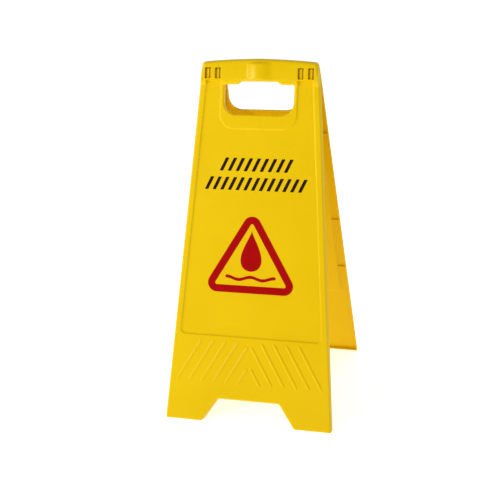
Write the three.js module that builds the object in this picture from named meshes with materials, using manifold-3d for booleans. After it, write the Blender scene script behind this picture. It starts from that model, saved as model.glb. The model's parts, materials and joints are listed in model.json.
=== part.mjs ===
// Folding wet floor sign: two moulded panels that hang back to back on two hinge pins. They are
// alike but for the hinge: at each end of the handle the front panel has two knuckles and the rear
// panel has one, which fits between them.
//
// Each panel is drawn flat, in its own panel frame, and then leaned over:
//   x runs across the panel, y runs up it from the feet, z runs outward from its open back.
// The assembly frame is millimetres with +Z up, the floor at z = 0 and the front panel towards -Y.

import * as THREE from 'three';
import { mergeVertices } from 'three/addons/utils/BufferGeometryUtils.js';
import Module from 'manifold-3d';

// ---------------------------------------------------------------- driving dimensions, mm
const FOOT_WIDTH = 300; // across the feet, at the open rim
const PANEL_LENGTH = 631; // feet to the crest of the top arc, at the rim
const SHOULDER_UP = 625; // where the top arc meets the sides
const SIDE_TAPER = 0.0756; // half width lost for each mm up the panel
const LEAN = THREE.MathUtils.degToRad(15.4); // each panel from upright when the sign stands open
const HINGE_UP = 602; // hinge axis, up the panel
const RIM = 0.3; // the open rim stands this far off the folding plane
const DEPTH = 8; // folding plane to the outer face of the border
const DRAFT = 3; // the face is narrower than the rim by this on every side
const WALL = 2.5; // moulded wall thickness
const FIELD_DROP = 2; // the printed field lies this far below the border
const BORDER = 12.9; // field edge to the rim, across the panel
const FIELD_BOTTOM = 151.7;
const FIELD_TOP = 593;

const FOOT_INNER = 79.4; // inner corner of each foot, at the rim
const NOTCH_HALF = 54.1; // half width of the notch between the feet, at its top
const NOTCH_UP = 38;

const HOLE_HALF = 60.5; // hand hole
const HOLE_BOTTOM = 535;
const GRIP_UNDER = 591; // underside of the grip in the middle
const GRIP_UNDER_SIDE = 586; // and beyond the finger step
const STEP_IN = 31;
const STEP_OUT = 38.5;
const COLLAR_HALF = 67; // raised collar round the hand hole
const COLLAR_BOTTOM = 511;

const GRIP_FACE = 13; // folding plane to the front of the handle
const GRIP_CROWN = 0.8; // its bulge
const GRIP_LOW = 584; // where the handle's front leaves the panel
const THUMB_HALF = 20.5; // raised thumb rest in the middle of the handle
const THUMB_RISE = 4.5;
const THUMB_BOTTOM = 596;
const THUMB_TOP = 621;
const THUMB_MIDDLE = (THUMB_BOTTOM + THUMB_TOP) / 2;
const CELL_PITCH = 20; // the grip is hollow, with a web between each two cells
const CELL_WEB = 2;
const CELL_TOP = 624.5;

const PIN_RADIUS = 2.25;
const BORE_RADIUS = 2.55;
const PIN_LENGTH = 34.8;
const KNUCKLE_RADIUS = 5;
const KNUCKLE_ARM = { width: 5, bottom: 594, top: 613 }; // stands up from the ledge under the handle
const POCKET_IN = 62.8; // hinge pocket, across the panel
const POCKET_TOP = 621.5;
const KNUCKLE_LENGTH = 8.4;
const FRONT_KNUCKLES = [71.75, 89.35]; // their middles, across the panel
const REAR_KNUCKLES = [80.55];
const FRONT_WINDOW = 9.6; // width of the moulding window over each knuckle
const REAR_WINDOW = 7;
const WINDOW_BOTTOM = 595;
const WINDOW_TOP = 613.4;

const CHANNEL_RIBS = [492, 313, 207]; // stiffening ribs behind the border, up the panel
const CHANNEL_RIB = { thick: 1.6, depth: 2.2 };

const RIB_TILT = THREE.MathUtils.degToRad(30); // grip ribs above the feet
const RIB_WIDTH = 3;
const RIB_PROUD = 1.2;
const RIB_FIRST = -2; // place of the innermost rib at mid height
const RIB_PITCH = 22;
const RIB_COUNT = 6;
const RIB_BOTTOM = 68;
const RIB_TOP = 144;

const INK = 0.25; // thickness of a printed layer
const INK_GAP = 0.3; // printed layer to the moulding under it
const TAN_LEAN = Math.tan(LEAN);
const TOP_ARC = 887; // radius of the handle's top edge
const FIELD_FACE = DEPTH - FIELD_DROP;
const BEYOND = 40; // how far a cutting solid runs on past what it cuts

// ---------------------------------------------------------------- outlines
const mirrorHalf = (half) => [
    ...half,
    ...half.filter((c) => c.u > 0).reverse().map((c) => ({ ...c, u: -c.u })),
];

/** Moves every edge of a counter-clockwise outline inward by its own distance. */
function shiftEdges(corners, insetOf) {
    const n = corners.length;
    const edges = corners.map((a, i) => {
        const b = corners[(i + 1) % n];
        const dir = new THREE.Vector2(b.u - a.u, b.v - a.v).normalize();
        const inset = insetOf(a, b);
        return { p: new THREE.Vector2(a.u - dir.y * inset, a.v + dir.x * inset), dir };
    });
    return corners.map((corner, i) => {
        const e = edges[(i + n - 1) % n];
        const f = edges[i];
        const cross = e.dir.x * f.dir.y - e.dir.y * f.dir.x;
        const gap = f.p.clone().sub(e.p);
        const along = (gap.x * f.dir.y - gap.y * f.dir.x) / cross;
        return { ...corner, u: e.p.x + e.dir.x * along, v: e.p.y + e.dir.y * along };
    });
}

/** Rounds the corners that have a radius r, with the same number of points whatever the radius. */
function roundCorners(corners, inset = 0, steps = 4) {
    const n = corners.length;
    const loop = [];
    corners.forEach((c, i) => {
        const at = new THREE.Vector2(c.u, c.v);
        if (!c.r) {
            loop.push(at);
            return;
        }
        const a = new THREE.Vector2(corners[(i + n - 1) % n].u, corners[(i + n - 1) % n].v);
        const b = new THREE.Vector2(corners[(i + 1) % n].u, corners[(i + 1) % n].v);
        const toA = a.sub(at).normalize();
        const toB = b.sub(at).normalize();
        const convex = toB.x * toA.y - toB.y * toA.x > 0;
        const radius = Math.max(c.r + (convex ? -inset : inset), 0.4);
        const half = Math.acos(THREE.MathUtils.clamp(toA.dot(toB), -1, 1)) / 2;
        const centre = toA.clone().add(toB).setLength(radius / Math.sin(half)).add(at);
        const start = toA.clone().multiplyScalar(radius / Math.tan(half)).add(at).sub(centre);
        const end = toB.clone().multiplyScalar(radius / Math.tan(half)).add(at).sub(centre);
        let sweep = end.angle() - start.angle();
        sweep = Math.atan2(Math.sin(sweep), Math.cos(sweep));
        for (let k = 0; k <= steps; k += 1) {
            loop.push(start.clone().rotateAround(new THREE.Vector2(), (sweep * k) / steps).add(centre));
        }
    });
    return loop;
}

const halfWidth = (v) => FOOT_WIDTH / 2 - SIDE_TAPER * v;

/** The whole panel at the rim: feet, tapering sides and the shallow arc of the handle. */
function panelCorners() {
    const arc = [0.78, 0.58, 0.38, 0.19, 0].map((share) => {
        const u = share * halfWidth(SHOULDER_UP);
        return { u, v: PANEL_LENGTH - TOP_ARC + Math.sqrt(TOP_ARC ** 2 - u ** 2) };
    });
    return mirrorHalf([
        { u: NOTCH_HALF, v: NOTCH_UP, r: 6 },
        { u: FOOT_INNER, v: 0, r: 3 },
        { u: FOOT_WIDTH / 2, v: 0, r: 3 },
        { u: halfWidth(SHOULDER_UP), v: SHOULDER_UP, r: 8 },
        ...arc,
    ]);
}

/** The panel outline at depth w, inset all round but cut flat along the floor under the feet. */
function panelLoop(inset, w, floorInset = 0) {
    const onFloor = (a, b) => a.v === 0 && b.v === 0;
    const floorShift = floorInset - w * TAN_LEAN;
    const corners = shiftEdges(panelCorners(), (a, b) => (onFloor(a, b) ? floorShift : inset));
    return roundCorners(corners, inset);
}

/** The printed field: up both legs beside the hand hole and round under the collar. */
function fieldCorners() {
    const edge = (v) => halfWidth(v) - BORDER;
    return mirrorHalf([
        { u: edge(FIELD_BOTTOM), v: FIELD_BOTTOM, r: 8 },
        { u: edge(FIELD_TOP), v: FIELD_TOP, r: 2 },
        { u: COLLAR_HALF, v: FIELD_TOP, r: 2 },
        { u: COLLAR_HALF, v: COLLAR_BOTTOM, r: 24 },
    ]);
}

function holeCorners() {
    return mirrorHalf([
        { u: HOLE_HALF, v: HOLE_BOTTOM, r: 22 },
        { u: HOLE_HALF, v: GRIP_UNDER_SIDE, r: 2 },
        { u: STEP_OUT, v: GRIP_UNDER_SIDE, r: 4 },
        { u: STEP_IN, v: GRIP_UNDER, r: 4 },
    ]);
}

const loopOf = (corners, inset = 0, steps = 4) => (
    roundCorners(shiftEdges(corners, () => inset), inset, steps)
);

// ---------------------------------------------------------------- solids
const wasm = await Module();
wasm.setup();

/** A closed geometry through a stack of loops, each { loop, w } with as many points as the last. */
function loft(rings) {
    const count = rings[0].loop.length;
    const positions = rings.flatMap(({ loop, w }) => loop.flatMap((p) => [p.x, p.y, w]));
    const index = [];
    for (let r = 0; r < rings.length - 1; r += 1) {
        for (let i = 0; i < count; i += 1) {
            const a = r * count + i;
            const b = r * count + ((i + 1) % count);
            index.push(a, b, b + count, a, b + count, a + count);
        }
    }
    const top = (rings.length - 1) * count;
    THREE.ShapeUtils.triangulateShape(rings[0].loop, []).forEach(([a, b, c]) => {
        index.push(a, c, b);
    });
    THREE.ShapeUtils.triangulateShape(rings.at(-1).loop, []).forEach(([a, b, c]) => {
        index.push(top + a, top + b, top + c);
    });
    const geometry = new THREE.BufferGeometry();
    geometry.setAttribute('position', new THREE.Float32BufferAttribute(positions, 3));
    geometry.setIndex(index);
    return geometry;
}

function toSolid(source) {
    const geometry = source.clone();
    geometry.deleteAttribute('normal');
    geometry.deleteAttribute('uv');
    const merged = mergeVertices(geometry);
    return new wasm.Manifold(new wasm.Mesh({
        numProp: 3,
        vertProperties: new Float32Array(merged.attributes.position.array),
        triVerts: new Uint32Array(merged.index.array),
    }));
}

function toGeometry(solid) {
    const { vertProperties, triVerts } = solid.getMesh();
    const geometry = new THREE.BufferGeometry();
    geometry.setAttribute('position', new THREE.BufferAttribute(vertProperties, 3));
    geometry.setIndex(new THREE.BufferAttribute(triVerts, 1));
    const flat = geometry.toNonIndexed();
    flat.computeVertexNormals();
    return flat;
}

/** A straight prism of one outline from depth w0 to depth w1. */
const prism = (loop, w0, w1) => toSolid(loft([{ loop, w: w0 }, { loop, w: w1 }]));

/** A block between two corners given as [across, up, depth]. */
function block(low, high) {
    const size = high.map((value, i) => value - low[i]);
    const box = new THREE.BoxGeometry(...size);
    box.translate(...low.map((value, i) => value + size[i] / 2));
    return toSolid(box);
}

/** A section drawn up the panel (x) and outward (y), run across the panel from u0 to u1. */
function acrossPanel(section, u0, u1) {
    const shape = new THREE.Shape(section.map(([v, w]) => new THREE.Vector2(v, w)));
    const run = new THREE.ExtrudeGeometry(shape, { depth: u1 - u0, bevelEnabled: false });
    run.applyMatrix4(new THREE.Matrix4().set(0, 0, 1, u0, 1, 0, 0, 0, 0, 1, 0, 0, 0, 0, 0, 1));
    return toSolid(run);
}

/** A section drawn across the panel (x) and outward (y), run up the panel from v0 to v1. */
function upPanel(shape, v0, v1) {
    const run = new THREE.ExtrudeGeometry(shape, { depth: v1 - v0, bevelEnabled: false });
    run.applyMatrix4(new THREE.Matrix4().set(1, 0, 0, 0, 0, 0, -1, v1, 0, 1, 0, 0, 0, 0, 0, 1));
    return toSolid(run);
}

const union = (solids) => solids.reduce((sum, solid) => sum.add(solid));
const bothSides = (make) => [-1, 1].map(make);

/** A round bar along the hinge axis. */
function hingeBar(radius, u0, u1, segments = 24) {
    const bar = new THREE.CylinderGeometry(radius, radius, u1 - u0, segments);
    bar.rotateZ(Math.PI / 2);
    bar.translate((u0 + u1) / 2, HINGE_UP, 0);
    return toSolid(bar);
}

// ---------------------------------------------------------------- the panel, part by part
function outerSkin() {
    const edge = 1.2; // softened edge between the side and the face
    return toSolid(loft([
        { loop: panelLoop(0, RIM), w: RIM },
        { loop: panelLoop(DRAFT - edge / 2, DEPTH - edge), w: DEPTH - edge },
        { loop: panelLoop(DRAFT + edge / 2, DEPTH), w: DEPTH },
    ]));
}

/** The bar of the handle, crowned in front, with the thumb rest on it. */
function handleBar() {
    const shoulder = [[GRIP_LOW, 3], [GRIP_LOW, 9], [GRIP_LOW + 4, 11.6], [GRIP_LOW + 10, GRIP_FACE]];
    const crown = [-1, 0, 1].map((place) => {
        const rise = GRIP_CROWN * (1 - 0.2 * place ** 2);
        return [THUMB_MIDDLE + 7 * place, GRIP_FACE + rise];
    });
    const topEdge = [[621, GRIP_FACE - 0.4], [625.5, 10.8], [PANEL_LENGTH, 7], [PANEL_LENGTH, 3]];
    const reach = FOOT_WIDTH / 2;
    const outline = prism(panelLoop(DRAFT, 0), 1, 2 * GRIP_FACE);
    const bar = acrossPanel([...shoulder, ...crown, ...topEdge], -reach, reach);
    return bar.intersect(outline).add(thumbRest());
}

function thumbRest() {
    const radius = (THUMB_HALF ** 2 + THUMB_RISE ** 2) / (2 * THUMB_RISE);
    const swing = Math.asin(THUMB_HALF / radius);
    const base = GRIP_FACE + GRIP_CROWN * 0.6;
    const buried = base - WALL;
    const section = new THREE.Shape();
    section.moveTo(-THUMB_HALF, buried);
    section.lineTo(THUMB_HALF, buried);
    section.absarc(0, base + THUMB_RISE - radius, radius, Math.PI / 2 - swing, Math.PI / 2 + swing);
    return upPanel(section, THUMB_BOTTOM, THUMB_TOP);
}

/** Everything hollowed out of the open back, apart from the handle. */
function backHollow() {
    const open = -1; // the cut starts in front of the rim
    const inner = (w) => panelLoop(WALL + (DRAFT * w) / DEPTH, w, WALL);
    const tray = toSolid(loft([
        { loop: inner(0), w: open },
        { loop: inner(0), w: 0 },
        { loop: inner(DEPTH - WALL), w: DEPTH - WALL },
    ]));
    const fieldBack = prism(loopOf(fieldCorners(), -WALL), FIELD_FACE - WALL, DEPTH);
    const collarWall = prism(loopOf(holeCorners(), -WALL), open, DEPTH);
    const handle = block([-FOOT_WIDTH / 2, FIELD_TOP - WALL, open], [FOOT_WIDTH / 2, PANEL_LENGTH, DEPTH]);
    return tray.subtract(fieldBack).subtract(collarWall).subtract(handle);
}

/** The hollow of the grip, split into cells by thin webs, and a hinge pocket at each end. */
function handleHollow() {
    const depth = GRIP_FACE - WALL;
    const half = (CELL_PITCH - CELL_WEB) / 2;
    const cells = [-2.5, -1.5, -0.5, 0.5, 1.5, 2.5].map((place) => {
        const u = place * CELL_PITCH;
        const floor = (Math.abs(place) > 2 ? GRIP_UNDER_SIDE : GRIP_UNDER) + WALL;
        return block([u - half, floor, -1], [u + half, CELL_TOP, depth]);
    });
    const pockets = bothSides((side) => {
        const near = side * POCKET_IN;
        const far = side * (halfWidth(PANEL_LENGTH) - WALL - 1);
        const low = [Math.min(near, far), FIELD_TOP + WALL, -1];
        return block(low, [Math.max(near, far), POCKET_TOP, depth]);
    });
    return union([...cells, ...pockets]);
}

/** The hinge knuckles of one panel, each on its arm. */
function knuckles(middles) {
    const owned = bothSides((side) => middles.map((middle) => {
        const u = side * middle;
        const half = KNUCKLE_LENGTH / 2;
        const low = [u - KNUCKLE_ARM.width / 2, KNUCKLE_ARM.bottom, 0];
        const high = [u + KNUCKLE_ARM.width / 2, KNUCKLE_ARM.top, GRIP_FACE - WALL + 0.2];
        return hingeBar(KNUCKLE_RADIUS, u - half, u + half).add(block(low, high));
    }));
    return union(owned.flat());
}

/** What lies beyond the folding plane above the hinge, where the two handles meet when open. */
function openingBevel() {
    const past = RIM / Math.cos(LEAN);
    const section = [
        [HINGE_UP, -BEYOND],
        [HINGE_UP + BEYOND, -BEYOND],
        [HINGE_UP + BEYOND, BEYOND * TAN_LEAN + past],
        [HINGE_UP, past],
    ];
    return acrossPanel(section, -FOOT_WIDTH / 2, FOOT_WIDTH / 2);
}

/** Short ribs across the channel between the field and the rim, on both sides. */
function channelRibs() {
    const half = CHANNEL_RIB.thick / 2;
    return CHANNEL_RIBS.flatMap((v) => bothSides((side) => {
        const inner = side * (halfWidth(v) - BORDER - WALL - 1);
        const outer = side * (halfWidth(v) - DRAFT - 1);
        const low = [Math.min(inner, outer), v - half, CHANNEL_RIB.depth];
        return block(low, [Math.max(inner, outer), v + half, DEPTH - WALL + 0.3]);
    }));
}

/** Slanted ribs moulded on the face above the feet, leaning to the middle. */
function faceRibs() {
    const middle = (RIB_BOTTOM + RIB_TOP) / 2;
    const half = (RIB_TOP - RIB_BOTTOM) / 2;
    return bothSides((side) => [...Array(RIB_COUNT).keys()].map((k) => {
        const at = RIB_FIRST + k * RIB_PITCH;
        const top = Math.min(half, (at - RIB_WIDTH) / Math.tan(RIB_TILT));
        const length = (half + top) / Math.cos(RIB_TILT);
        const rib = new THREE.BoxGeometry(RIB_WIDTH, length, 2 * RIB_PROUD);
        const up = middle + (top - half) / 2;
        rib.rotateZ(side * RIB_TILT);
        rib.translate(side * (at - (up - middle) * Math.tan(RIB_TILT)), up, DEPTH);
        return toSolid(rib);
    })).flat();
}

function windowCuts(middles, width) {
    return bothSides((side) => middles.map((middle) => {
        const u = side * middle;
        return block([u - width / 2, WINDOW_BOTTOM, DEPTH], [u + width / 2, WINDOW_TOP, BEYOND]);
    })).flat();
}

/** A whole panel, with its own knuckles and a moulding window over each. */
function mouldedPanel(middles, windowWidth) {
    const fieldCut = prism(loopOf(fieldCorners()), FIELD_FACE, BEYOND);
    const handHole = prism(loopOf(holeCorners()), -BEYOND, BEYOND);
    const skin = outerSkin()
        .subtract(backHollow())
        .add(handleBar())
        .subtract(fieldCut)
        .subtract(handHole);
    const hollowed = skin
        .subtract(handleHollow())
        .subtract(openingBevel())
        .subtract(union(windowCuts(middles, windowWidth)));
    const ribbed = union([hollowed, ...channelRibs(), ...faceRibs()]);
    const bores = bothSides((side) => pinLine(BORE_RADIUS, side, 0.2));
    return toGeometry(ribbed.add(knuckles(middles)).subtract(union(bores)));
}

/** A round bar where a hinge pin lies, longer than the pin by spare at each end. */
function pinLine(radius, side, spare) {
    const middle = side * (POCKET_IN + 0.5 + PIN_LENGTH / 2);
    const half = PIN_LENGTH / 2 + spare;
    return hingeBar(radius, middle - half, middle + half);
}

// ---------------------------------------------------------------- the printed warning
const UPPER_BAND = { half: 64.5, bottom: 439, top: 461.5 };
const LOWER_BAND = { half: 90, bottom: 406.3, top: 428.5 };
const TRIANGLE = { half: 87.5, bottom: 229, top: 377.5, r: 16, stroke: 13 };
const DROP = { bottom: 267, radius: 18.5, top: 337 };
const PUDDLE = { half: 42, up: 252, thick: 5.5, swell: 2.4 };
const MARK_MIDDLE = -3.4; // the red print lies this far off the panel's middle

const inkLayer = (loop) => prism(loop, FIELD_FACE + INK_GAP, FIELD_FACE + INK_GAP + INK);

function stripeBand({ half, bottom, top }) {
    const corners = [
        { u: half, v: bottom }, { u: half, v: top }, { u: -half, v: top }, { u: -half, v: bottom },
    ];
    return toGeometry(inkLayer(roundCorners(corners)));
}

function triangleRing({ half, bottom, top, r, stroke }) {
    const corners = [{ u: half, v: bottom, r }, { u: 0, v: top, r }, { u: -half, v: bottom, r }];
    const hole = prism(loopOf(corners, stroke, 8), 0, DEPTH);
    return toGeometry(inkLayer(loopOf(corners, 0, 8)).subtract(hole));
}

function waterDrop({ bottom, radius, top }) {
    const centre = bottom + radius;
    const swing = Math.acos(radius / (top - centre));
    const shape = new THREE.Path();
    shape.absarc(0, centre, radius, Math.PI / 2 + swing, Math.PI / 2 - swing + 2 * Math.PI, false);
    return toGeometry(inkLayer([...shape.getPoints(28), new THREE.Vector2(0, top)]));
}

function puddleWave({ half, up, thick, swell }) {
    const steps = 24;
    const wave = (u) => up + swell * Math.cos((u / half) * 2 * Math.PI);
    const along = [...Array(steps + 1).keys()].map((i) => -half + (2 * half * i) / steps);
    const lower = along.map((u) => new THREE.Vector2(u, wave(u)));
    const upper = along.map((u) => new THREE.Vector2(u, wave(u) + thick)).reverse();
    return toGeometry(inkLayer([...lower, ...upper]));
}

// ---------------------------------------------------------------- assembly
const sign = new THREE.Group();
const yellow = { color: 0xecc80a, roughness: 0.42, metalness: 0 };
const steel = { color: 0x9c7630, roughness: 0.35, metalness: 1 };
const black = { color: 0x21160f, roughness: 0.6, metalness: 0 };
const red = { color: 0xb80812, roughness: 0.55, metalness: 0 };

function addPart(group, name, geometry, look) {
    const mesh = new THREE.Mesh(geometry, new THREE.MeshStandardMaterial(look));
    mesh.name = name;
    mesh.position.y = -HINGE_UP;
    group.add(mesh);
}

/** A group whose contents lean back from their feet; turned half round, it is the rear panel. */
function leaningGroup(turn) {
    const lean = new THREE.Group();
    lean.position.z = HINGE_UP * Math.cos(LEAN);
    lean.rotation.x = Math.PI / 2 - LEAN;
    const half = new THREE.Group();
    half.rotation.z = turn;
    half.add(lean);
    sign.add(half);
    return lean;
}

const panels = {
    front: mouldedPanel(FRONT_KNUCKLES, FRONT_WINDOW),
    rear: mouldedPanel(REAR_KNUCKLES, REAR_WINDOW),
};
const prints = {
    upper_stripe_band: [stripeBand(UPPER_BAND), black],
    lower_stripe_band: [stripeBand(LOWER_BAND), black],
    triangle_ring: [triangleRing(TRIANGLE).translate(MARK_MIDDLE, 0, 0), red],
    water_drop: [waterDrop(DROP).translate(MARK_MIDDLE, 0, 0), red],
    puddle_wave: [puddleWave(PUDDLE).translate(MARK_MIDDLE, 0, 0), red],
};
for (const [side, turn] of [['front', 0], ['rear', Math.PI]]) {
    const group = leaningGroup(turn);
    addPart(group, `${side}_panel`, panels[side], yellow);
    for (const [name, [geometry, look]] of Object.entries(prints)) {
        addPart(group, `${side}_${name}`, geometry.clone(), look);
    }
    if (side === 'front') {
        addPart(group, 'hinge_pin_left', toGeometry(pinLine(PIN_RADIUS, -1, 0)), steel);
        addPart(group, 'hinge_pin_right', toGeometry(pinLine(PIN_RADIUS, 1, 0)), steel);
    }
}

export default sign;
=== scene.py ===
"""Folding wet floor sign: two moulded yellow panels on two hinge pins, with the warning printed on both.

A panel is drawn flat, in its own panel frame, and then leaned over. Lengths are in millimetres:
u runs across the panel, v runs up it from the feet, and w runs outward from its open back.
"""

import functools
import json
import math

import bmesh
import bpy
from mathutils import Matrix, Vector
from mathutils.geometry import delaunay_2d_cdt


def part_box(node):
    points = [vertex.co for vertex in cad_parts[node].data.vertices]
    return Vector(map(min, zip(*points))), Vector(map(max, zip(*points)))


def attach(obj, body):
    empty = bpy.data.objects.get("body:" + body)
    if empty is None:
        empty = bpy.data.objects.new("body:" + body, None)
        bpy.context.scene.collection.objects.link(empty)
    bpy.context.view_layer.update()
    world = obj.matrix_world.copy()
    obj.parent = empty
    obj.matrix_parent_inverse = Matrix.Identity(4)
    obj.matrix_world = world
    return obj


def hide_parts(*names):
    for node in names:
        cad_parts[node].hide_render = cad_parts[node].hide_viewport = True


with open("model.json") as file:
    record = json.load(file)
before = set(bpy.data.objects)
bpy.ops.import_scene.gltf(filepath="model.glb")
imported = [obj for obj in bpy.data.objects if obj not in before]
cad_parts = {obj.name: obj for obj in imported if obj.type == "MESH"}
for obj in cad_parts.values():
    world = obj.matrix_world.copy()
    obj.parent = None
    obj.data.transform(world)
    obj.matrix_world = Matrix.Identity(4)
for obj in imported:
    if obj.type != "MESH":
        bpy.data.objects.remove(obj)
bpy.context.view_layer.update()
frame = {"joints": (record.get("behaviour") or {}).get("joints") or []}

# ------------------------------------------------------------------ driving sizes, mm
MM = 0.001
FOLD = frame["joints"][0]
HINGE_HEIGHT = FOLD["pos_m"][2] / MM
LEAN = math.radians(FOLD["range_deg"][1] / 2)
TAN_LEAN = math.tan(LEAN)
HINGE_UP = HINGE_HEIGHT / math.cos(LEAN)  # hinge axis, up the panel

FOOT_WIDTH = 300
PANEL_LENGTH = 631
SHOULDER_UP = 625
TOP_ARC = 887  # radius of the handle's top edge
SIDE_TAPER = 0.0756  # half width lost for each mm up the panel
RIM = 0.3  # the open rim stands this far off the folding plane
RIM_BREAK = 0.3  # bevel along the rim
DEPTH = 8  # folding plane to the border's face
DRAFT = 3  # the face is narrower than the rim by this on every side
WALL = 2.4
EDGE = 1.7  # round-over between the side and the face
FOOT_INNER = 79.4
NOTCH_HALF = 54.1
NOTCH_UP = 38
FOOT_CORNERS = [(NOTCH_HALF, NOTCH_UP, 6), (FOOT_INNER, 0, 3), (FOOT_WIDTH / 2, 0, 3)]

BORDER = 12.9  # printed field's edge to the rim
FIELD_BOTTOM = 151.7
FIELD_TOP = 593
FIELD_FACE = 6
FIELD_STEP = 3  # width of the smooth step down to the field
BACK_BORDER = 16.8  # behind the field, the slope's middle to the rim
BACK_SLOPE = 5.4
BACK_FIELD = 2.4
BACK_FIELD_BOTTOM = 147
BACK_FIELD_TOP = 584
TRAY_TOP = 590.5  # the open back ends here, under the handle

HOLE_HALF = 60.5
HOLE_BOTTOM = 535
HOLE_RADIUS = 22
HOLE_LIP = 3.2  # round-over of the hand hole
GRIP_LIP = 4  # and of the grip's underside
GRIP_UNDER = 591  # underside of the grip in the middle
GRIP_UNDER_SIDE = 586  # and beyond the finger step
STEP_IN = 31
STEP_OUT = 38.5
COLLAR_HALF = 67  # raised collar round the hand hole
COLLAR_BOTTOM = 511
COLLAR_RADIUS = 24

GRIP_LOW = 584  # where the handle's front leaves the panel
GRIP_SHOULDER = 8  # length over which it rises
GRIP_FACE = 13
GRIP_CROWN = 0.8
GRIP_MIDDLE = 608
CROWN_REACH = 20
GRIP_EDGE = 5  # round-over along the top of the handle
GRIP_EDGE_START = 600  # where the panel's round-over starts to grow into it
GRIP_EDGE_GROWTH = 14
THUMB_HALF = 20.5
THUMB_RISE = 4.5
THUMB_BOTTOM = 590
THUMB_TOP = 624.5
THUMB_RUN_IN = 4
THUMB_RUN_OUT = 5
HANDLE_SPAN = 104  # half the width over which the handle is meshed finely
LEG_STEPS = [560, 580, 583, 585, 587, 589]  # heights where the sides carry a point, for the handle's rise
HANDLE_STEPS = [591, 593, 596, 600, 604, 608, 612]
CELL_PITCH = 20  # the grip's hollows, side by side
CELL_HALF = 9
CELL_TOP = 623.5
CELL_PLACES = (-2.5, -1.5, -0.5, 0.5, 1.5, 2.5)

POCKET_IN = 62.8  # hinge pocket, across the panel
POCKET_BOTTOM = 595.5
POCKET_TOP = 621.5
FRONT_KNUCKLES = [71.75, 89.35]
REAR_KNUCKLES = [80.55]
KNUCKLE_LENGTH = 8.4
KNUCKLE_RADIUS = 5
ARM_BOTTOM = 594
ARM_TOP = 613
ARM_ROUND = 2
ARM_BACK = 0.05  # an arm starts just off the folding plane
ARM_FACE = GRIP_FACE - WALL + 0.2  # and ends just inside the handle's wall
LEDGE_FACE = 8.4
FRONT_ARMS = [(3.4, ARM_FACE), (8.8, LEDGE_FACE)]  # (width, face): an arm, and a lower ledge round it
REAR_ARMS = [(6.6, ARM_FACE)]
BORE_RADIUS = 2.55
BORE_START = POCKET_IN + 0.3
BORE_END = POCKET_IN + 35.5
FRONT_WINDOW = 9.6
REAR_WINDOW = 7
WINDOW_BOTTOM = 595
WINDOW_TOP = 613.4
WINDOW_CUT = [  # height, and how much wider the window is there
    (8, 0),
    (GRIP_FACE - 0.3, 0),
    (GRIP_FACE + 0.3, 0.15),
    (GRIP_FACE + 0.7, 0.55),
    (GRIP_FACE + 1.2, 1.4),
]

RIB_TILT = math.radians(30)  # the slanted ribs above the feet
RIB_FIRST = -2
RIB_PITCH = 22
RIB_COUNT = 6
RIB_BOTTOM = 68
RIB_TOP = 144
RIB_HALF = 3
RIB_PROUD = 1.2
RIB_ENDS = [(0, 0.15), (0.015, 0.6), (0.05, 1), (0.95, 1), (0.985, 0.6), (1, 0.15)]  # place, size
CHANNEL_RIBS = [492, 313, 207]  # cross ribs behind the borders
CHANNEL_RIB_SECTION = [(2.2, 0.55), (DEPTH - WALL + 0.5, 0.85)]  # height, half thickness
SIDES = (-1, 1)


# ------------------------------------------------------------------ outlines
def mirrored(half):
    """A counter-clockwise outline from its right half, given as (u, v, corner radius)."""
    return half + [(-u, v, r) for u, v, r in reversed(half) if u > 0]


def shifted(corners, insets):
    """Moves edge i, which leaves corner i, inward by insets[i]."""
    edges = []
    for (u0, v0, _), (u1, v1, _), inset in zip(corners, corners[1:] + corners[:1], insets):
        along = Vector((u1 - u0, v1 - v0)).normalized()
        edges.append((Vector((u0 - along.y * inset, v0 + along.x * inset)), along))
    moved = []
    for i, (_, _, r) in enumerate(corners):
        (p, d), (q, e) = edges[i - 1], edges[i]
        cross = d.x * e.y - d.y * e.x
        at = q
        if abs(cross) > 1e-6:
            gap = q - p
            at = p + d * ((gap.x * e.y - gap.y * e.x) / cross)
        moved.append((at.x, at.y, r))
    return moved


def rounded(corners, inset=0.0):
    """Turns each corner with a radius into an arc, with as many points whatever the inset."""
    loop = []
    for i, (u, v, r) in enumerate(corners):
        at = Vector((u, v))
        if not r:
            loop.append(at)
            continue
        to_a = (Vector(corners[i - 1][:2]) - at).normalized()
        to_b = (Vector(corners[(i + 1) % len(corners)][:2]) - at).normalized()
        convex = to_b.x * to_a.y - to_b.y * to_a.x > 0
        radius = max(r - inset if convex else r + inset, 0.4)
        half = to_a.angle(to_b) / 2
        centre = at + (to_a + to_b).normalized() * (radius / math.sin(half))
        start = at + to_a * (radius / math.tan(half)) - centre
        end = at + to_b * (radius / math.tan(half)) - centre
        sweep = math.atan2(start.x * end.y - start.y * end.x, start.dot(end))
        steps = 6 if r < 10 else 12
        for k in range(steps + 1):
            turn = Matrix.Rotation(sweep * k / steps, 2)
            loop.append(centre + turn @ start)
    return loop


def offset(corners, inset):
    """The outline moved in by inset, with its corners rounded."""
    return rounded(shifted(corners, [inset] * len(corners)), inset)


def half_width(v):
    """From the middle to the rim, at height v."""
    return FOOT_WIDTH / 2 - SIDE_TAPER * v


def arc_up(u):
    """Height of the handle's top edge."""
    return PANEL_LENGTH - TOP_ARC + math.sqrt(TOP_ARC**2 - u**2)


def panel_corners():
    """Feet, tapering sides and the shallow arc of the handle, at the rim."""
    shoulder = half_width(SHOULDER_UP)
    side = [(half_width(v), v, 0) for v in LEG_STEPS + HANDLE_STEPS]
    arc = [(u, arc_up(u), 0) for u in (shoulder * 0.88 * k / 16 for k in range(16, -1, -1))]
    return mirrored(FOOT_CORNERS + side + [(shoulder, SHOULDER_UP, 8)] + arc)


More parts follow.
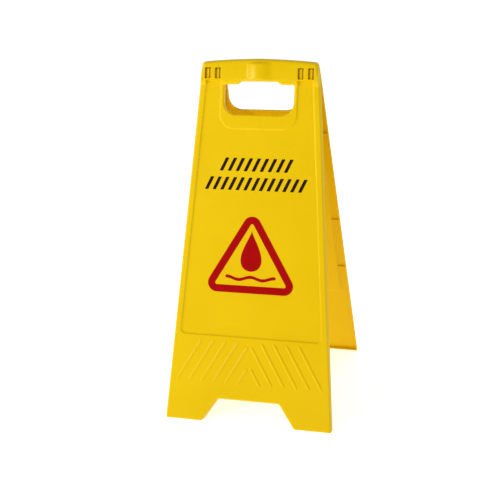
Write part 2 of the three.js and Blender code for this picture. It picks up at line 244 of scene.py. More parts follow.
@functools.cache
def panel_loop(w, inset):
    """The outline at depth w, moved in by inset; the feet are cut flat along the floor."""
    corners = panel_corners()
    draft = DRAFT * min(w, DEPTH) / DEPTH
    on_floor = [a[1] == 0 and b[1] == 0 for a, b in zip(corners, corners[1:] + corners[:1])]
    insets = [inset - w * TAN_LEAN if floor else inset + draft for floor in on_floor]
    return rounded(shifted(corners, insets), inset + draft)


def field_corners():
    """The printed field: up both legs beside the hand hole and round under the collar."""
    steps = [(v, 0) for v in LEG_STEPS]
    outer = [(half_width(v) - BORDER, v, r) for v, r in [(FIELD_BOTTOM, 8)] + steps + [(FIELD_TOP, 2)]]
    inner = [(COLLAR_HALF, v, r) for v, r in [(FIELD_TOP, 2)] + steps[::-1]]
    return mirrored(outer + inner + [(COLLAR_HALF, COLLAR_BOTTOM, COLLAR_RADIUS)])


def hole_corners():
    """The hand hole, whose top steps up in the middle for the fingers."""
    grip = [(u, GRIP_UNDER, 0) for u in (24, 16, 8, 0)]
    return mirrored([
        (HOLE_HALF, HOLE_BOTTOM, HOLE_RADIUS), (HOLE_HALF, 575, 0), (HOLE_HALF, 580, 0),
        (HOLE_HALF, GRIP_UNDER_SIDE, 2), (STEP_OUT, GRIP_UNDER_SIDE, 4), (STEP_IN, GRIP_UNDER, 4),
    ] + grip)


# ------------------------------------------------------------------ heights
def ease(t):
    t = min(max(t, 0.0), 1.0)
    return t * t * (3 - 2 * t)


def land(u, v):
    """Height of the outer face, w, outside the field: the border, and above it the handle."""
    shoulder = math.sin(math.pi / 2 * min(max((v - GRIP_LOW) / GRIP_SHOULDER, 0), 1))
    crown = GRIP_CROWN * max(0.0, 1 - ((v - GRIP_MIDDLE) / CROWN_REACH) ** 2)
    crown *= ease((v - GRIP_LOW - GRIP_SHOULDER / 2) / GRIP_SHOULDER)
    across = max(0.0, math.cos(math.pi / 2 * min(abs(u) / THUMB_HALF, 1)))
    along = ease((v - THUMB_BOTTOM) / THUMB_RUN_IN) * ease((THUMB_TOP - v) / THUMB_RUN_OUT)
    return DEPTH + (GRIP_FACE - DEPTH) * shoulder + crown + THUMB_RISE * across * along


def rim_height(v):
    """Height of the open back's edge: above the hinge, the bevel that the open handles meet on."""
    if v > HINGE_UP:
        return RIM / math.cos(LEAN) + (v - HINGE_UP) * TAN_LEAN
    return RIM


# ------------------------------------------------------------------ mesh building
class Skin:
    """A mesh under way, in the panel frame."""

    def __init__(self):
        self.bm = bmesh.new()

    def ring(self, points):
        return [self.bm.verts.new(p) for p in points]

    def band(self, a, b):
        """Quads between two closed rings of as many points."""
        for i in range(len(a)):
            j = (i + 1) % len(a)
            self.bm.faces.new((a[i], a[j], b[j], b[i]))

    def bands(self, rings):
        for a, b in zip(rings, rings[1:]):
            self.band(a, b)

    def fill(self, outer, holes=(), height=None, spare=()):
        """Fills between an outer ring and holes, with spare points (u, v) inside at height(u, v)."""
        loops = [outer, *holes]
        verts = [v for loop in loops for v in loop]
        edges, first = [], 0
        for loop in loops:
            edges += [(first + i, first + (i + 1) % len(loop)) for i in range(len(loop))]
            first += len(loop)
        flats = [[v.co.xy.copy() for v in loop] for loop in loops]
        inside = [p for p in spare if self.between(p, flats, 0.9)]
        verts += self.ring([(*p, height(*p)) for p in inside])
        flat = [v.co.xy for v in verts]
        _, _, faces, origin, _, _ = delaunay_2d_cdt(flat, edges, [], 0, 1e-6)
        faces = [[origin[i][0] for i in face] for face in faces]
        for patch in self.patches(faces, edges):
            middles = [sum((flat[i] for i in face), Vector((0, 0))) / 3 for face in patch]
            if self.between(max(middles, key=lambda p: self.room(p, flats)), flats, 0):
                for face in patch:
                    self.bm.faces.new([verts[i] for i in face])

    @staticmethod
    def patches(faces, fences):
        """Groups triangles that meet at edges other than the fences."""
        fences = {frozenset(edge) for edge in fences}
        sharing = {}
        for face in faces:
            for edge in zip(face, face[1:] + face[:1]):
                sharing.setdefault(frozenset(edge), []).append(face)
        left = {tuple(face): face for face in faces}
        while left:
            group = [left.pop(next(iter(left)))]
            for face in group:
                for edge in zip(face, face[1:] + face[:1]):
                    if frozenset(edge) not in fences:
                        beside = [f for f in sharing[frozenset(edge)] if tuple(f) in left]
                        group += [left.pop(tuple(f)) for f in beside]
            yield group

    @staticmethod
    def room(p, flats):
        return min((p - corner).length for loop in flats for corner in loop)

    @staticmethod
    def between(p, flats, clear):
        """True inside the first loop and outside the rest, and at least clear of them all."""
        inside = False
        for loop in flats:
            for a, b in zip(loop, loop[1:] + loop[:1]):
                if (a.y > p.y) != (b.y > p.y):
                    inside ^= p.x < (b.x - a.x) * (p.y - a.y) / (b.y - a.y) + a.x
                run = b - a
                t = min(max((p - a).dot(run) / run.length_squared, 0), 1)
                if (a + run * t - p).length < clear:
                    return False
        return inside

    def mesh(self, name):
        bmesh.ops.recalc_face_normals(self.bm, faces=self.bm.faces)
        mesh = bpy.data.meshes.new(name)
        self.bm.to_mesh(mesh)
        self.bm.free()
        return mesh


def quarter(steps):
    return [math.pi / 2 * k / steps for k in range(steps + 1)]


def full_turn(steps):
    return [2 * math.pi * k / steps for k in range(steps)]


def prism(skin, sections):
    """A closed solid through a stack of equal rings of (u, v, w) points."""
    rings = [skin.ring(points) for points in sections]
    skin.bands(rings)
    skin.bm.faces.new(rings[0][::-1])
    skin.bm.faces.new(rings[-1])


def rod(skin, stations, v, w=0, sides=32):
    """A round bar along u, about (v, w), through stations of (u, radius)."""
    turns = full_turn(sides)
    prism(skin, [[(u, v + r * math.cos(a), w + r * math.sin(a)) for a in turns] for u, r in stations])


# ------------------------------------------------------------------ the panel's moulding
def outer_side(skin):
    """The drafted side, from the rim round to the face; returns its first and last rings."""
    last = [panel_loop(DEPTH, EDGE)[i] for i in range(len(panel_loop(0, 0)))]
    growth = [ease((p.y - GRIP_EDGE_START) / GRIP_EDGE_GROWTH) for p in last]
    edge = [EDGE + (GRIP_EDGE - EDGE) * share for share in growth]
    top = []
    for i, p in enumerate(last):
        reach = panel_loop(DEPTH, round(edge[i], 3))[i]
        top.append(land(reach.x, reach.y))
    low = [rim_height(p.y) for p in panel_loop(RIM, 0)]
    rings = []

    def add(height, inset):
        points = []
        for i in range(len(last)):
            w = round(height(i), 3)
            p = panel_loop(w, round(inset(i), 3))[i]
            points.append((p.x, p.y, w))
        rings.append(skin.ring(points))

    add(lambda i: low[i], lambda i: RIM_BREAK)
    for share in (0, 0.5, 1):
        add(lambda i: low[i] + RIM_BREAK + (top[i] - edge[i] - low[i] - RIM_BREAK) * share, lambda i: 0)
    for a in quarter(6)[1:]:
        add(lambda i: top[i] - edge[i] * (1 - math.sin(a)), lambda i: edge[i] * (1 - math.cos(a)))
    skin.bands(rings)
    return rings[0], rings[-1]


def step_down(skin, corners, upper, lower, half, steps=8):
    """A smooth step over 2 * half from the height outside an outline to the one inside it."""
    rings = []
    for k in range(steps + 1):
        inset = half * (2 * k / steps - 1)
        loop = offset(corners, inset)
        start = offset(corners, -half)
        share = ease(k / steps)
        rings.append(skin.ring([
            (p.x, p.y, upper(q.x, q.y) * (1 - share) + lower * share) for p, q in zip(loop, start)
        ]))
    skin.bands(rings)
    return rings[0], rings[-1]


def hole_wall(skin):
    """The hand hole's wall, rounded over to the face and broken at the back."""
    corners = hole_corners()
    flat = offset(corners, 0)
    lip = [HOLE_LIP + (GRIP_LIP - HOLE_LIP) * ease((p.y - 575) / 12) for p in flat]
    reach = [offset(corners, -r)[i] for i, r in enumerate(lip)]
    top = [land(p.x, p.y) for p in reach]
    rings = []
    for a in quarter(6):
        points = []
        for i, r in enumerate(lip):
            p = offset(corners, -r * (1 - math.sin(a)))[i]
            points.append((p.x, p.y, top[i] - r * (1 - math.cos(a))))
        rings.append(skin.ring(points))
    back = offset(corners, -RIM_BREAK)
    rings.append(skin.ring([(p.x, p.y, RIM + RIM_BREAK) for p in flat]))
    rings.append(skin.ring([(p.x, p.y, RIM) for p in back]))
    skin.bands(rings)
    return rings[0], rings[-1]


def tray_corners():
    """The open back below the handle, round both sides of the hand hole's wall."""
    inner = HOLE_HALF + WALL
    leg = [(half_width(TRAY_TOP), TRAY_TOP, 2), (inner, TRAY_TOP, 2)]
    return mirrored(FOOT_CORNERS + leg + [(inner, HOLE_BOTTOM - WALL, HOLE_RADIUS + 2)])


def tray_loop(w, inset):
    """The tray's outline at height w: walls along the feet and sides, the outline itself elsewhere."""
    corners = tray_corners()
    draft = DRAFT * w / DEPTH
    insets = []
    for a, b in zip(corners, corners[1:] + corners[:1]):
        if a[1] == 0 and b[1] == 0:
            insets.append(WALL + inset - w * TAN_LEAN)
        elif min(a[1], b[1]) < NOTCH_UP + 1:
            insets.append(WALL + inset + draft)
        else:
            insets.append(inset)
    return rounded(shifted(corners, insets), WALL + inset)


def back_field_corners():
    """The middle of the slope where the open back rises to the printed field's back."""
    return mirrored([
        (half_width(BACK_FIELD_BOTTOM) - BACK_BORDER, BACK_FIELD_BOTTOM, 8),
        (half_width(BACK_FIELD_TOP) - BACK_BORDER, BACK_FIELD_TOP, 3),
        (COLLAR_HALF + 2, BACK_FIELD_TOP, 3),
        (COLLAR_HALF + 2, COLLAR_BOTTOM, COLLAR_RADIUS),
    ])


def open_back(skin):
    """The tray behind the panel; returns its ring at the rim."""
    floor = DEPTH - WALL
    wall = [(RIM, -RIM_BREAK), (RIM + RIM_BREAK, 0)]
    corner = [(floor - 1, 0), (floor - 0.7, 0.1), (floor - 0.3, 0.4), (floor, 1)]
    rings = []
    for w, inset in wall + corner:
        rings.append(skin.ring([(p.x, p.y, w) for p in tray_loop(w, inset)]))
    skin.bands(rings)
    outer, inner = step_down(skin, back_field_corners(), lambda u, v: floor, BACK_FIELD, BACK_SLOPE / 2)
    skin.fill(rings[-1], [outer])
    skin.fill(inner)
    return rings[0]


def handle_cells(skin):
    """The grip's hollows and the two hinge pockets; returns their rings at the rim."""
    floor = GRIP_FACE - WALL
    cells = []
    for place in CELL_PLACES:
        under = GRIP_UNDER_SIDE if abs(place) > 2 else GRIP_UNDER
        middle = place * CELL_PITCH
        cells.append((middle - CELL_HALF, middle + CELL_HALF, under + WALL + 0.5, CELL_TOP))
    reach = half_width(PANEL_LENGTH) - WALL - 1
    cells.append((-reach, -POCKET_IN, POCKET_BOTTOM, POCKET_TOP))
    cells.append((POCKET_IN, reach, POCKET_BOTTOM, POCKET_TOP))
    mouths = []
    for u0, u1, v0, v1 in cells:
        corners = [
            (u0, v0, 0.8), (u1, v0, 0.8), (u1, HINGE_UP - 0.01, 0), (u1, HINGE_UP + 0.01, 0),
            (u1, v1, 0.8), (u0, v1, 0.8), (u0, HINGE_UP + 0.01, 0), (u0, HINGE_UP - 0.01, 0),
        ]
        loop = offset(corners, 0)
        mouth = skin.ring([(p.x, p.y, rim_height(p.y)) for p in loop])
        depth = skin.ring([(p.x, p.y, floor) for p in loop])
        skin.band(mouth, depth)
        skin.fill(depth)
        mouths.append(mouth)
    return mouths


def grid(u0, u1, v0, v1, du, dv):
    """Spare points about du and dv apart."""
    nu, nv = round((u1 - u0) / du), round((v1 - v0) / dv)
    return [
        Vector((u0 + (u1 - u0) * i / nu, v0 + (v1 - v0) * j / nv))
        for i in range(nu + 1) for j in range(nv + 1)
    ]


def moulding(name):
    """One panel's shell, without its hinge parts and ribs."""
    skin = Skin()
    rim, edge = outer_side(skin)
    field_rim, field_edge = step_down(skin, field_corners(), land, FIELD_FACE, FIELD_STEP / 2)
    hole_rim, hole_back = hole_wall(skin)
    handle = grid(-HANDLE_SPAN, HANDLE_SPAN, 581, 627, 2.6, 1.9)
    skin.fill(edge, [field_rim, hole_rim], land, handle)
    skin.fill(field_edge)
    crease = grid(-HANDLE_SPAN, HANDLE_SPAN, HINGE_UP - 0.01, HINGE_UP + 0.01, 2, 0.02)
    mouths = [open_back(skin), hole_back, *handle_cells(skin)]
    skin.fill(rim, mouths, lambda u, v: rim_height(v), crease)
    return skin.mesh(name)


def knuckle(skin, middle):
    """A hinge knuckle on its arm, with the ends broken."""
    half, end_break = KNUCKLE_LENGTH / 2, 0.4
    low = [(middle - half, KNUCKLE_RADIUS - end_break), (middle - half + end_break, KNUCKLE_RADIUS)]
    high = [(middle + half - end_break, KNUCKLE_RADIUS), (middle + half, KNUCKLE_RADIUS - end_break)]
    rod(skin, low + high, HINGE_UP)


def arm(skin, middle, width, face):
    """The arm that a knuckle stands on, rounded over at its top."""
    v, w = ARM_TOP - ARM_ROUND, face - ARM_ROUND
    section = [(ARM_BOTTOM, ARM_BACK), (ARM_TOP, ARM_BACK)]
    section += [(v + ARM_ROUND * math.cos(a), w + ARM_ROUND * math.sin(a)) for a in quarter(5)]
    section += [(ARM_BOTTOM, face)]
    u0, u1 = middle - width / 2, middle + width / 2
    prism(skin, [[(u0, v, w) for v, w in section], [(u1, v, w) for v, w in section]])


def window(skin, middle, width):
    """Cuts the moulding window over a knuckle, with its outer edge rounded over."""
    stack = []
    for w, spread in WINDOW_CUT:
        left, right = middle - width / 2 - spread, middle + width / 2 + spread
        low, high = WINDOW_BOTTOM - spread, WINDOW_TOP + spread
        corners = [(left, low, 0.7), (right, low, 0.7), (right, high, 0.7), (left, high, 0.7)]
        stack.append([(p.x, p.y, w) for p in offset(corners, 0)])
    prism(skin, stack)


def pin_bore(skin, side):
    """The bore through all the knuckles of one side."""
    rod(skin, [(side * BORE_START, BORE_RADIUS), (side * BORE_END, BORE_RADIUS)], HINGE_UP)


def face_rib(skin, side, k):
    """A low rounded rib on the face above the feet, leaning to the middle."""
    middle = (RIB_BOTTOM + RIB_TOP) / 2
    at = RIB_FIRST + k * RIB_PITCH
    high = min(RIB_TOP, middle + (at - RIB_HALF) / math.tan(RIB_TILT))
    along = Vector((-side * math.sin(RIB_TILT), math.cos(RIB_TILT)))
    across = Vector((along.y, -along.x))
    stack = []
    for share, size in RIB_ENDS:
        v = RIB_BOTTOM + (high - RIB_BOTTOM) * share
        centre = Vector((side * (at - (v - middle) * math.tan(RIB_TILT)), v))
        points = []
        for j in range(11):
            t = 1 - j / 5
            p = centre + across * (RIB_HALF * size * t)
            points.append((p.x, p.y, DEPTH - 0.05 + RIB_PROUD * size * (1 - t * t)))
        for t in (-1, 1):
            points.append((*(centre + across * (RIB_HALF * size * t)), DEPTH - 0.5))
        stack.append(points)
    prism(skin, stack)


def channel_rib(skin, side, v):
    """A thin cross rib in the channel behind a border."""
    inner = half_width(v) - BACK_BORDER
    outer = half_width(v) - DRAFT - 0.5
    u0, u1 = sorted((side * inner, side * outer))
    stack = []
    for w, half in CHANNEL_RIB_SECTION:
        stack.append([(u0, v - half, w), (u1, v - half, w), (u1, v + half, w), (u0, v + half, w)])
    prism(skin, stack)


def cut_or_join(piece, operation, build):
    """Joins a solid made by build to a piece, or cuts it out."""
    skin = Skin()
    build(skin)
    tool = bpy.data.objects.new("tool", skin.mesh("tool"))
    bpy.context.scene.collection.objects.link(tool)
    modifier = piece.modifiers.new(operation, "BOOLEAN")
    modifier.operation = operation
    modifier.solver = "MANIFOLD"
    modifier.object = tool
    apply_modifiers(piece)
    bpy.data.objects.remove(tool)


def apply_modifiers(piece):
    bpy.context.view_layer.update()
    evaluated = piece.evaluated_get(bpy.context.evaluated_depsgraph_get())
    mesh = bpy.data.meshes.new_from_object(evaluated)
    piece.modifiers.clear()
    old, piece.data = piece.data, mesh
    bpy.data.meshes.remove(old)


def shade(piece, angle):
    for face in piece.data.polygons:
        face.use_smooth = True
    piece.data.set_sharp_from_angle(angle=math.radians(angle))
    modifier = piece.modifiers.new("weighted", "WEIGHTED_NORMAL")
    modifier.keep_sharp = True
    apply_modifiers(piece)


def stand(piece, body):
    """Leans a piece from the panel frame into the row frame and lets it ride."""
    sin, cos = math.sin(LEAN), math.cos(LEAN)
    lean = Matrix((
        (1, 0, 0, 0),
        (0, sin, -cos, -HINGE_UP * sin),
        (0, cos, sin, -HINGE_UP * cos + HINGE_HEIGHT),
        (0, 0, 0, 1),
    ))
    turn = Matrix.Rotation(math.pi if body == "rear" else 0, 4, "Z")
    piece.data.transform(Matrix.Scale(MM, 4) @ turn @ lean)
    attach(piece, body)


def new_piece(name, mesh):
    piece = bpy.data.objects.new(name, mesh)
    bpy.context.scene.collection.objects.link(piece)
    return piece


def build_panel(body, middles, window_width, arms):
    """One moulded panel with its hinge knuckles and ribs, riding on its body."""
    piece = new_piece(f"{body}_moulding", moulding(f"{body}_moulding"))

    def each(build, places):
        def all_of(skin):
            for side in SIDES:
                for place in places:
                    build(skin, side, place)
        return all_of

    cut_or_join(piece, "DIFFERENCE", each(lambda s, side, m: window(s, side * m, window_width), middles))
    for width, face in arms:
        cut_or_join(piece, "UNION", each(lambda s, side, m: arm(s, side * m, width, face), middles))
    cut_or_join(piece, "UNION", each(lambda s, side, m: knuckle(s, side * m), middles))
    cut_or_join(piece, "DIFFERENCE", each(lambda s, side, _: pin_bore(s, side), [0]))
    cut_or_join(piece, "UNION", each(channel_rib, CHANNEL_RIBS))
    cut_or_join(piece, "UNION", each(face_rib, range(RIB_COUNT)))
    shade(piece, 32)
    stand(piece, body)
    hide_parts(f"{body}_panel")
    return piece


front = build_panel("front", FRONT_KNUCKLES, FRONT_WINDOW, FRONT_ARMS)
rear = build_panel("rear", REAR_KNUCKLES, REAR_WINDOW, REAR_ARMS)


# ------------------------------------------------------------------ the printed warning
INK = 0.12  # a screen-printed film, drawn thick enough to show its edge
INK_BASE = FIELD_FACE + 0.02
STRIPE_WIDTH = 6
STRIPE_PITCH = 14
STRIPE_SLANT = math.tan(math.radians(25))
UPPER_ROW = {"half": 64.5, "bottom": 439, "top": 461.5}
LOWER_ROW = {"half": 90, "bottom": 406.3, "top": 428.5}
TRIANGLE = {"half": 87.5, "bottom": 229, "top": 377.5, "r": 16, "stroke": 13}
DROP = {"bottom": 267, "radius": 18.5, "top": 337}
PUDDLE = {"half": 42, "up": 252, "thick": 5.5, "swell": 2.4}
MARK_MIDDLE = -3.4  # the red print lies this far off the panel's middle


def film(skin, outline, hole=None):
    """A thin flat layer on the field, through an outline with at most one hole."""
    faces = []
    for w in (INK_BASE, INK_BASE + INK):
        rings = [skin.ring([(p.x, p.y, w) for p in loop]) for loop in (outline, hole) if loop]
        skin.fill(rings[0], rings[1:])
        faces.append(rings)
    for low, high in zip(*faces):
        skin.band(low, high)


def stripe_row(skin, half, bottom, top):
    """Slanted bars that fill a row from side to side."""
    lean = (top - bottom) * STRIPE_SLANT
    room = 2 * half - lean - STRIPE_WIDTH
    count = round(room / STRIPE_PITCH)
    for k in range(count + 1):
        u = -half + room * k / count
        corners = [
            (u, bottom, 0.8), (u + STRIPE_WIDTH, bottom, 0.8),
            (u + STRIPE_WIDTH + lean, top, 0.8), (u + lean, top, 0.8),
        ]
        film(skin, offset(corners, 0))


def triangle_ring(skin, half, bottom, top, r, stroke):
    corners = [(half, bottom, r), (0, top, r), (-half, bottom, r)]
    film(skin, offset(corners, 0), offset(corners, stroke))


def water_drop(skin, bottom, radius, top):
    """A drop whose sides draw in smoothly to its tip."""
    turns = full_turn(72)
    swell = [math.sin(a) * abs(math.sin(a / 2)) ** 1.6 for a in turns]
    middle, half = (top + bottom) / 2, (top - bottom) / 2
    film(skin, [
        Vector((-radius * s / max(swell), middle + half * math.cos(a))) for a, s in zip(turns, swell)
    ])


def puddle_wave(skin, half, up, thick, swell):
    """A wavy line with round ends."""
    steps = 48
    along = [half * (2 * k / steps - 1) for k in range(steps + 1)]
    wave = [Vector((u, up + thick / 2 + swell * math.cos(u / half * 2 * math.pi))) for u in along]
    below = [p - Vector((0, thick / 2)) for p in wave]
    above = [p + Vector((0, thick / 2)) for p in reversed(wave)]
    turns = [math.pi * k / 8 for k in range(1, 8)]
    right = [wave[-1] + thick / 2 * Vector((math.sin(a), -math.cos(a))) for a in turns]
    left = [wave[0] + thick / 2 * Vector((-math.sin(a), math.cos(a))) for a in turns]
    film(skin, below + right + above + left)


PRINTS = {
    "upper_stripe_band": (stripe_row, UPPER_ROW, "black_ink"),
    "lower_stripe_band": (stripe_row, LOWER_ROW, "black_ink"),
    "triangle_ring": (triangle_ring, TRIANGLE, "red_ink"),
    "water_drop": (water_drop, DROP, "red_ink"),
    "puddle_wave": (puddle_wave, PUDDLE, "red_ink"),
}


def build_prints(body):
    """The five printed layers of one panel."""
    made = []
    for name, (draw, sizes, ink) in PRINTS.items():
        skin = Skin()
        draw(skin, **sizes)
        if ink == "red_ink":
            bmesh.ops.translate(skin.bm, verts=skin.bm.verts, vec=(MARK_MIDDLE, 0, 0))
        piece = new_piece(f"{body}_{name}_print", skin.mesh(f"{body}_{name}_print"))
        stand(piece, body)
        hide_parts(f"{body}_{name}")
        made.append((piece, ink))
    return made


prints = build_prints("front") + build_prints("rear")


# ------------------------------------------------------------------ hinge pins
def build_pin(side):
    """A wire pin with its ends broken, where the frame has it."""
    node = f"hinge_pin_{side}"
    low, high = (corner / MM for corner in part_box(node))
    radius = (high.y - low.y) / 2
    end_break = [(0, radius - 0.5), (0.15, radius - 0.25), (0.5, radius)]
    stations = [(low.x + along, r) for along, r in end_break]
    stations += [(high.x - along, r) for along, r in reversed(end_break)]
    skin = Skin()
    rod(skin, stations, 0, HINGE_HEIGHT, 40)
    piece = new_piece(f"{node}_wire", skin.mesh(f"{node}_wire"))
    piece.data.transform(Matrix.Scale(MM, 4))
    shade(piece, 30)
    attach(piece, "front")
    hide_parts(node)
    return piece


pins = [build_pin(side) for side in ("left", "right")]


# ------------------------------------------------------------------ materials
def linear(hex_colour):
    """An sRGB hex colour as linear RGBA."""
    channels = [int(hex_colour[i:i + 2], 16) / 255 for i in (1, 3, 5)]
    return [c / 12.92 if c <= 0.04045 else ((c + 0.055) / 1.055) ** 2.4 for c in channels] + [1]


def add_node(tree, kind, links=(), **settings):
    """Adds a node; settings name its properties or inputs, and links are (input, other node's output)."""
    node = tree.nodes.new(kind)
    for name, value in settings.items():
        if hasattr(node, name):
            setattr(node, name, value)
        else:
            node.inputs[name.replace("_", " ")].default_value = value
    for name, output in links:
        tree.links.new(node.inputs[name], output)
    return node


def new_material(name):
    material = bpy.data.materials.new(name)
    material.use_nodes = True
    tree = material.node_tree
    tree.nodes.clear()
    return material, tree


def finish_material(tree, shader):
    add_node(tree, "ShaderNodeOutputMaterial", [("Surface", shader.outputs[0])])


def moulded_polypropylene():
    """Injection-moulded polypropylene: a waxy half gloss over strong yellow, with a faint satin grain
    and slow swirls and hollows where the melt flowed and shrank."""
    material, tree = new_material("moulded_polypropylene")
    place = add_node(tree, "ShaderNodeTexCoord").outputs["Object"]
    flow = add_node(tree, "ShaderNodeTexNoise", [("Vector", place)], Scale=1 / (90 * MM), Detail=2.0)
    colour = add_node(tree, "ShaderNodeValToRGB", [("Fac", flow.outputs["Fac"])])
    for stop, place_in_ramp, tint in zip(colour.color_ramp.elements, (0.35, 0.68), ("#EBC200", "#EEC602")):
        stop.position = place_in_ramp
        stop.color = linear(tint)
    satin = add_node(tree, "ShaderNodeTexNoise", [("Vector", place)], Scale=1 / (1.2 * MM), Detail=3.0)
    gloss = add_node(
        tree, "ShaderNodeMapRange", [("Value", satin.outputs["Fac"])],
        To_Min=0.22, To_Max=0.31,
    )
    sink = add_node(
        tree, "ShaderNodeBump", [("Height", flow.outputs["Fac"])],
        Strength=0.25, Distance=1.2 * MM,
    )
    grain = add_node(
        tree, "ShaderNodeBump", [("Height", satin.outputs["Fac"]), ("Normal", sink.outputs[0])],
        Strength=0.2, Distance=0.05 * MM,
    )
    shader = add_node(
        tree, "ShaderNodeBsdfPrincipled",
        [("Base Color", colour.outputs[0]), ("Roughness", gloss.outputs[0]), ("Normal", grain.outputs[0])],
        IOR=1.49, Specular_IOR_Level=0.2, Specular_Tint=linear("#FFF0C0"),
    )
    finish_material(tree, shader)
    return material


def screen_printed_ink(name, deep, thin):
    """Screen-printed ink: flat and dry, a touch lighter where the mesh laid it thin."""
    material, tree = new_material(name)
    place = add_node(tree, "ShaderNodeTexCoord").outputs["Object"]
    patch = add_node(tree, "ShaderNodeTexNoise", [("Vector", place)], Scale=1 / (14 * MM), Detail=4.0)
    colour = add_node(tree, "ShaderNodeValToRGB", [("Fac", patch.outputs["Fac"])])
    for stop, place_in_ramp, tint in zip(colour.color_ramp.elements, (0.4, 0.75), (deep, thin)):
        stop.position = place_in_ramp
        stop.color = linear(tint)
    mesh = add_node(tree, "ShaderNodeTexNoise", [("Vector", place)], Scale=1 / (0.6 * MM), Detail=1.0)
    gloss = add_node(tree, "ShaderNodeMapRange", [("Value", mesh.outputs["Fac"])], To_Min=0.48, To_Max=0.62)
    relief = add_node(
        tree, "ShaderNodeBump", [("Height", mesh.outputs["Fac"])],
        Strength=0.15, Distance=0.03 * MM,
    )
    shader = add_node(
        tree, "ShaderNodeBsdfPrincipled",
        [("Base Color", colour.outputs[0]), ("Roughness", gloss.outputs[0]), ("Normal", relief.outputs[0])],
        Specular_IOR_Level=0.05,
    )
    finish_material(tree, shader)
    return material


def zinc_plated_steel():
    """Wire plated with yellow-passivated zinc: a straw-brown metal with drawn lines and dull patches."""
    material, tree = new_material("zinc_plated_steel")
    place = add_node(tree, "ShaderNodeTexCoord").outputs["Object"]
    along = add_node(tree, "ShaderNodeMapping", [("Vector", place)])
    along.inputs["Scale"].default_value = (0.05, 1, 1)
    lines = add_node(
        tree, "ShaderNodeTexNoise", [("Vector", along.outputs[0])],
        Scale=1 / (0.3 * MM), Detail=2.0,
    )
    patch = add_node(tree, "ShaderNodeTexNoise", [("Vector", place)], Scale=1 / (5 * MM))
    colour = add_node(tree, "ShaderNodeValToRGB", [("Fac", patch.outputs["Fac"])])
    colour.color_ramp.elements[0].color = linear("#8A6420")
    colour.color_ramp.elements[1].color = linear("#B08A3C")
    gloss = add_node(
        tree, "ShaderNodeMapRange", [("Value", patch.outputs["Fac"])],
        To_Min=0.25, To_Max=0.45,
    )
    relief = add_node(
        tree, "ShaderNodeBump", [("Height", lines.outputs["Fac"])],
        Strength=0.3, Distance=0.02 * MM,
    )
    shader = add_node(
        tree, "ShaderNodeBsdfPrincipled",
        [("Base Color", colour.outputs[0]), ("Roughness", gloss.outputs[0]), ("Normal", relief.outputs[0])],
        Metallic=1.0,
    )
    finish_material(tree, shader)
    return material


def lit_acrylic():
    """Pale studio acrylic, lit softly from below, with a barely visible tooth."""
    material, tree = new_material("lit_acrylic")
    place = add_node(tree, "ShaderNodeTexCoord").outputs["Object"]
    tooth = add_node(tree, "ShaderNodeTexNoise", [("Vector", place)], Scale=1 / (2 * MM))
    relief = add_node(
        tree, "ShaderNodeBump", [("Height", tooth.outputs["Fac"])],
        Strength=0.05, Distance=0.1 * MM,
    )
    shader = add_node(
        tree, "ShaderNodeBsdfPrincipled", [("Normal", relief.outputs[0])],
        Base_Color=linear("#FAFAFA"), Roughness=0.9,
        Emission_Color=linear("#FFFFFF"), Emission_Strength=0.58,
    )
    finish_material(tree, shader)
    return material


yellow = moulded_polypropylene()
inks = {
    "black_ink": screen_printed_ink("black_screen_ink", "#241006", "#301A0A"),
    "red_ink": screen_printed_ink("red_screen_ink", "#A80103", "#AF0404"),
}
steel = zinc_plated_steel()
for piece, material in [(front, yellow), (rear, yellow)] + [(pin, steel) for pin in pins]:
    piece.data.materials.clear()
    piece.data.materials.append(material)
for piece, ink in prints:
    piece.data.materials.append(inks[ink])


# ------------------------------------------------------------------ stage, light and camera
FLOOR_RADIUS = 40  # metres


def build_floor():
    """A wide round pale floor."""
    skin = Skin()
    rim = skin.ring([(FLOOR_RADIUS * math.cos(a), FLOOR_RADIUS * math.sin(a), 0) for a in full_turn(64)])
    skin.bm.faces.new(rim)
    piece = new_piece("floor", skin.mesh("floor"))
    piece.data.materials.append(lit_acrylic())


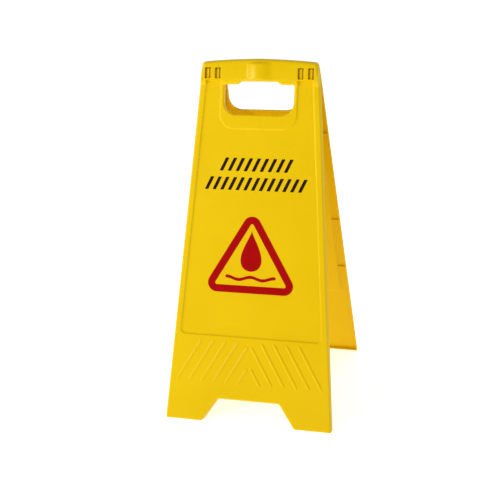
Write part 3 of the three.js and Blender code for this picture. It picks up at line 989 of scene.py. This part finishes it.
def add_soft_box(name, at, size, power):
    """A square soft box at a place in metres, aimed at the middle of the sign."""
    data = bpy.data.lights.new(name, "AREA")
    data.size = size
    data.energy = power
    lamp = bpy.data.objects.new(name, data)
    lamp.location = at
    lamp.rotation_euler = (Vector((0, 0, 0.3)) - lamp.location).to_track_quat("-Z", "Y").to_euler()
    lamp.visible_camera = False
    bpy.context.scene.collection.objects.link(lamp)


def add_camera():
    """The view from the front, a little to the right and from above."""
    eye = (0.37403, -1.57792, 0.85147)
    azimuth, elevation, roll = (math.radians(a) for a in (14.273, 19.855, -1.693))
    forward = Vector((
        -math.sin(azimuth) * math.cos(elevation),
        math.cos(azimuth) * math.cos(elevation),
        -math.sin(elevation),
    ))
    level = forward.cross(Vector((0, 0, 1))).normalized()
    upright = level.cross(forward)
    right = level * math.cos(roll) + upright * math.sin(roll)
    up = upright * math.cos(roll) - level * math.sin(roll)
    data = bpy.data.cameras.new("camera")
    data.lens = 68.557
    data.sensor_width = 36
    data.clip_end = 50
    camera = bpy.data.objects.new("camera", data)
    turn = Matrix((right, up, -forward)).transposed().to_4x4()
    camera.matrix_world = Matrix.Translation(eye) @ turn
    bpy.context.scene.collection.objects.link(camera)
    bpy.context.scene.camera = camera


def light_the_room():
    """Even white surroundings that light the sign softly, and look fully white themselves."""
    world = bpy.data.worlds.new("studio")
    bpy.context.scene.world = world
    world.use_nodes = True
    tree = world.node_tree
    sky = tree.nodes["Background"]
    sky.inputs["Color"].default_value = linear("#FFFFFF")
    seen = add_node(tree, "ShaderNodeLightPath").outputs["Is Camera Ray"]
    strength = add_node(tree, "ShaderNodeMapRange", [("Value", seen)], To_Min=0.47, To_Max=1.05)
    tree.links.new(sky.inputs["Strength"], strength.outputs[0])


build_floor()
add_soft_box("key", (-1.72, -2.12, 1.2), 0.42, 24)
add_soft_box("side", (-2.6, -0.9, 0.7), 1.0, 10)
add_soft_box("back", (0.9, 2.7, 1.5), 1.5, 14)
add_camera()
light_the_room()
bpy.context.scene.view_settings.view_transform = "Standard"
